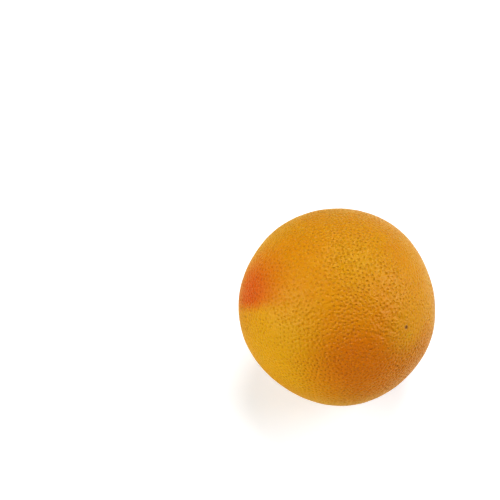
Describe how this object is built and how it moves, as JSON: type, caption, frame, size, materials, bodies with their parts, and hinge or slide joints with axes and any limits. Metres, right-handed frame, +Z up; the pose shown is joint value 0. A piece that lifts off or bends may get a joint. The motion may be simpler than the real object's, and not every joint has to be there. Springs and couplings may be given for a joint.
{
  "type": "grapefruit",
  "caption": "Whole ripe grapefruit lying on its side, with dimpled orange-yellow peel, a blossom scar and a dried stalk button.",
  "frame": {"origin": "on the surface that the fruit rests on, under the middle of its box", "axes": "+Z up from that surface; the blossom end points 46 degrees from +X towards -Y and 30 degrees up, and the stalk end points the opposite way"},
  "size_m": [0.1038, 0.1022, 0.1019],
  "materials": {
    "peel": "satin",
    "dry_stalk": "matte"
  },
  "bodies": {
    "root": {"fruit": "peel", "stem_button": "dry_stalk"}
  },
  "joints": []
}
